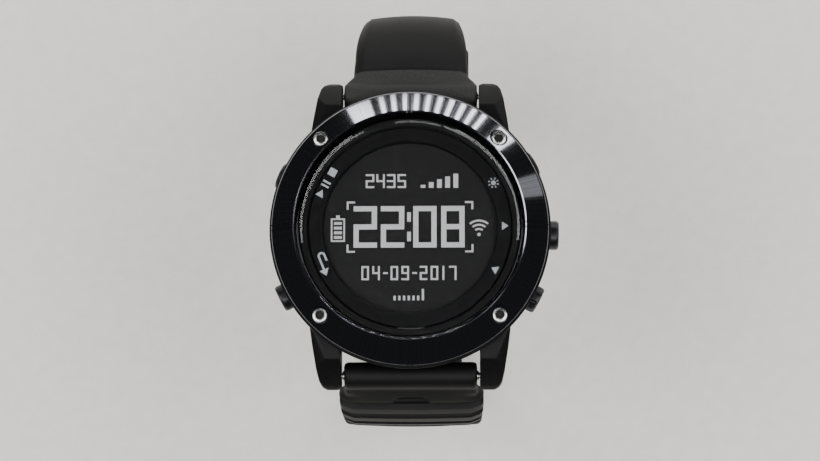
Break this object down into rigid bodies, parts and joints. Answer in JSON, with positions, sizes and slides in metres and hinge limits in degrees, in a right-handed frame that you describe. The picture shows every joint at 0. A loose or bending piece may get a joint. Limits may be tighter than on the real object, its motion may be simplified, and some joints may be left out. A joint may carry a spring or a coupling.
{
  "type": "smartwatch",
  "caption": "Round outdoor smartwatch: steel bezel with four screws, five side buttons, sunken round display, silicone strap with a tongue buckle.",
  "frame": {"origin": "centre of the rear cover's outer flat face, where the watch rests on a wrist", "axes": "+Z out of the dial, +Y to 12 o'clock, +X to 3 o'clock"},
  "size_m": [0.0513, 0.0784, 0.1033],
  "materials": {
    "case": "satin black coated steel, bead blasted",
    "bezel": "polished black coated steel, fine turned lines",
    "steel": "turned stainless steel",
    "crystal": "clear mineral crystal, polished",
    "display": "reflective display behind glass, dark gray",
    "plastic": "moulded black, fine grain",
    "rubber": "black seal rubber, matte",
    "silicone": "black strap silicone, matte",
    "gold": "gold plated contact",
    "board": "green solder mask",
    "ribbon": "amber film",
    "foil": "foil pouch",
    "buckle": "satin black coated steel"
  },
  "bodies": {
    "case": {"case_frame": "case", "bezel": "bezel", "crystal": "crystal", "crystal_gasket": "rubber", "dial_ring": "plastic", "display_module": "display", "display_ribbon": "ribbon", "circuit_board": "board", "shield_can": "steel", "vibration_motor": "steel", "battery": "foil", "module_chassis": "plastic", "buzzer_disc": "gold", "rear_cover": "case", "rear_gasket": "rubber", "contact_block": "plastic", "bezel_screw_1": "steel", "rear_screw_1": "steel", "charge_contact_1": "gold", "bezel_screw_2": "steel", "rear_screw_2": "steel", "charge_contact_2": "gold", "bezel_screw_3": "steel", "rear_screw_3": "steel", "charge_contact_3": "gold", "bezel_screw_4": "steel", "rear_screw_4": "steel", "charge_contact_4": "gold", "switch_start": "steel", "switch_back": "steel", "switch_light": "steel", "switch_up": "steel", "switch_down": "steel", "spring_bar_12": "steel", "spring_bar_6": "steel"},
    "button_start": {"button_start": "case", "button_start_seal": "rubber", "button_start_clip": "steel"},
    "button_back": {"button_back": "case", "button_back_seal": "rubber", "button_back_clip": "steel"},
    "button_light": {"button_light": "case", "button_light_seal": "rubber", "button_light_clip": "steel"},
    "button_up": {"button_up": "case", "button_up_seal": "rubber", "button_up_clip": "steel"},
    "button_down": {"button_down": "case", "button_down_seal": "rubber", "button_down_clip": "steel"},
    "strap_12": {"strap_12": "silicone"},
    "strap_12_end": {"strap_12_end": "silicone", "buckle_bar": "steel", "keeper_fixed": "silicone"},
    "keeper_free": {"keeper_free": "silicone"},
    "buckle_frame": {"buckle_frame": "buckle"},
    "buckle_tongue": {"buckle_tongue": "buckle"},
    "strap_6": {"strap_6": "silicone"},
    "strap_6_end": {"strap_6_end": "silicone"}
  },
  "joints": [
    {"name": "press_start", "type": "slide", "parent": "case", "child": "button_start", "axis": [0.9135, -0.4067, 0], "range_m": [0, 0.0006], "stiffness_N_per_m": 2500},
    {"name": "press_back", "type": "slide", "parent": "case", "child": "button_back", "axis": [0.887, 0.4617, 0], "range_m": [0, 0.0006], "stiffness_N_per_m": 2500},
    {"name": "press_light", "type": "slide", "parent": "case", "child": "button_light", "axis": [-0.8704, -0.4924, 0], "range_m": [0, 0.0006], "stiffness_N_per_m": 2500},
    {"name": "press_up", "type": "slide", "parent": "case", "child": "button_up", "axis": [-0.9997, 0.0262, 0], "range_m": [0, 0.0006], "stiffness_N_per_m": 2500},
    {"name": "press_down", "type": "slide", "parent": "case", "child": "button_down", "axis": [-0.8763, 0.4818, 0], "range_m": [0, 0.0006], "stiffness_N_per_m": 2500},
    {"name": "strap_12_swing", "type": "hinge", "parent": "case", "child": "strap_12", "pos_m": [0, 0.0254, 0.0039], "axis": [1, 0, 0], "range_deg": [0, 65]},
    {"name": "strap_12_flex", "type": "hinge", "parent": "strap_12", "child": "strap_12_end", "pos_m": [0, 0.04311, -0.01761], "axis": [1, 0, 0], "range_deg": [0, 45], "stiffness_Nm_per_rad": 0.08},
    {"name": "strap_6_swing", "type": "hinge", "parent": "case", "child": "strap_6", "pos_m": [0, -0.0254, 0.0039], "axis": [-1, 0, 0], "range_deg": [0, 75]},
    {"name": "strap_6_flex", "type": "hinge", "parent": "strap_6", "child": "strap_6_end", "pos_m": [0, -0.02845, -0.0348], "axis": [-1, 0, 0], "range_deg": [0, 50], "stiffness_Nm_per_rad": 0.08},
    {"name": "buckle_swing", "type": "hinge", "parent": "strap_12_end", "child": "buckle_frame", "pos_m": [0, 0.03734, -0.06139], "axis": [1, 0, 0], "range_deg": [-60, 30]},
    {"name": "tongue_swing", "type": "hinge", "parent": "buckle_frame", "child": "buckle_tongue", "pos_m": [0, 0.03734, -0.06139], "axis": [1, 0, 0], "range_deg": [0, 95]},
    {"name": "keeper_slide", "type": "slide", "parent": "strap_12_end", "child": "keeper_free", "axis": [0, 0.1564, 0.9877], "range_m": [-0.0018, 0.0095]}
  ]
}
